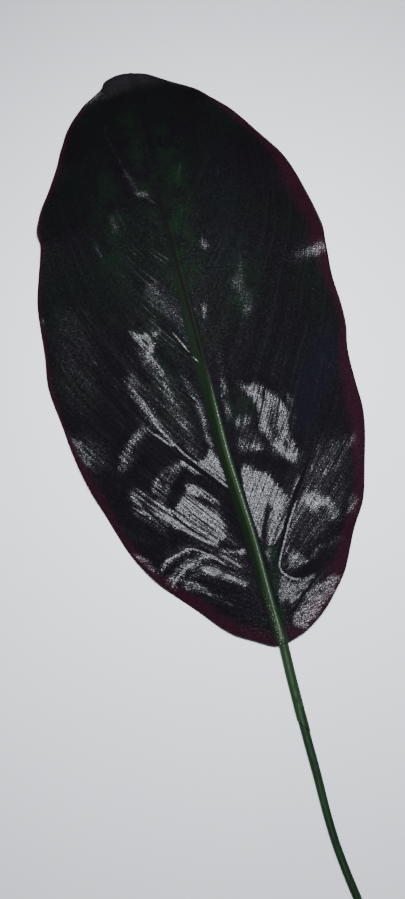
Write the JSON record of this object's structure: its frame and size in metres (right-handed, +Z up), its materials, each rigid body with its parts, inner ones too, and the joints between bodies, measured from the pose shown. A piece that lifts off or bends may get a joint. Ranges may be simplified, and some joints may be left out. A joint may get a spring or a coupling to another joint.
{
  "type": "artificial cordyline leaf",
  "caption": "Broad dark artificial cordyline leaf with pressed veins and a waved margin, lying flat on a bendable green stem with a steel wire core.",
  "frame": {"origin": "on the flat under the midrib's socket, straight below where the stem meets the blade", "axes": "+Y from the cut stem to the tip of the leaf, +Z up off the table, upper face of the blade up"},
  "size_m": [0.1718, 0.5387, 0.0111],
  "materials": {
    "leaf_blade": "coated woven fabric, heat pressed",
    "midrib": "moulded polyethylene, satin",
    "stem": "extruded polyethylene, satin",
    "stem_wire": "drawn wire, cut end"
  },
  "bodies": {
    "root": {"leaf_blade": "leaf_blade", "midrib": "midrib", "stem": "stem", "stem_wire": "stem_wire"}
  },
  "joints": []
}
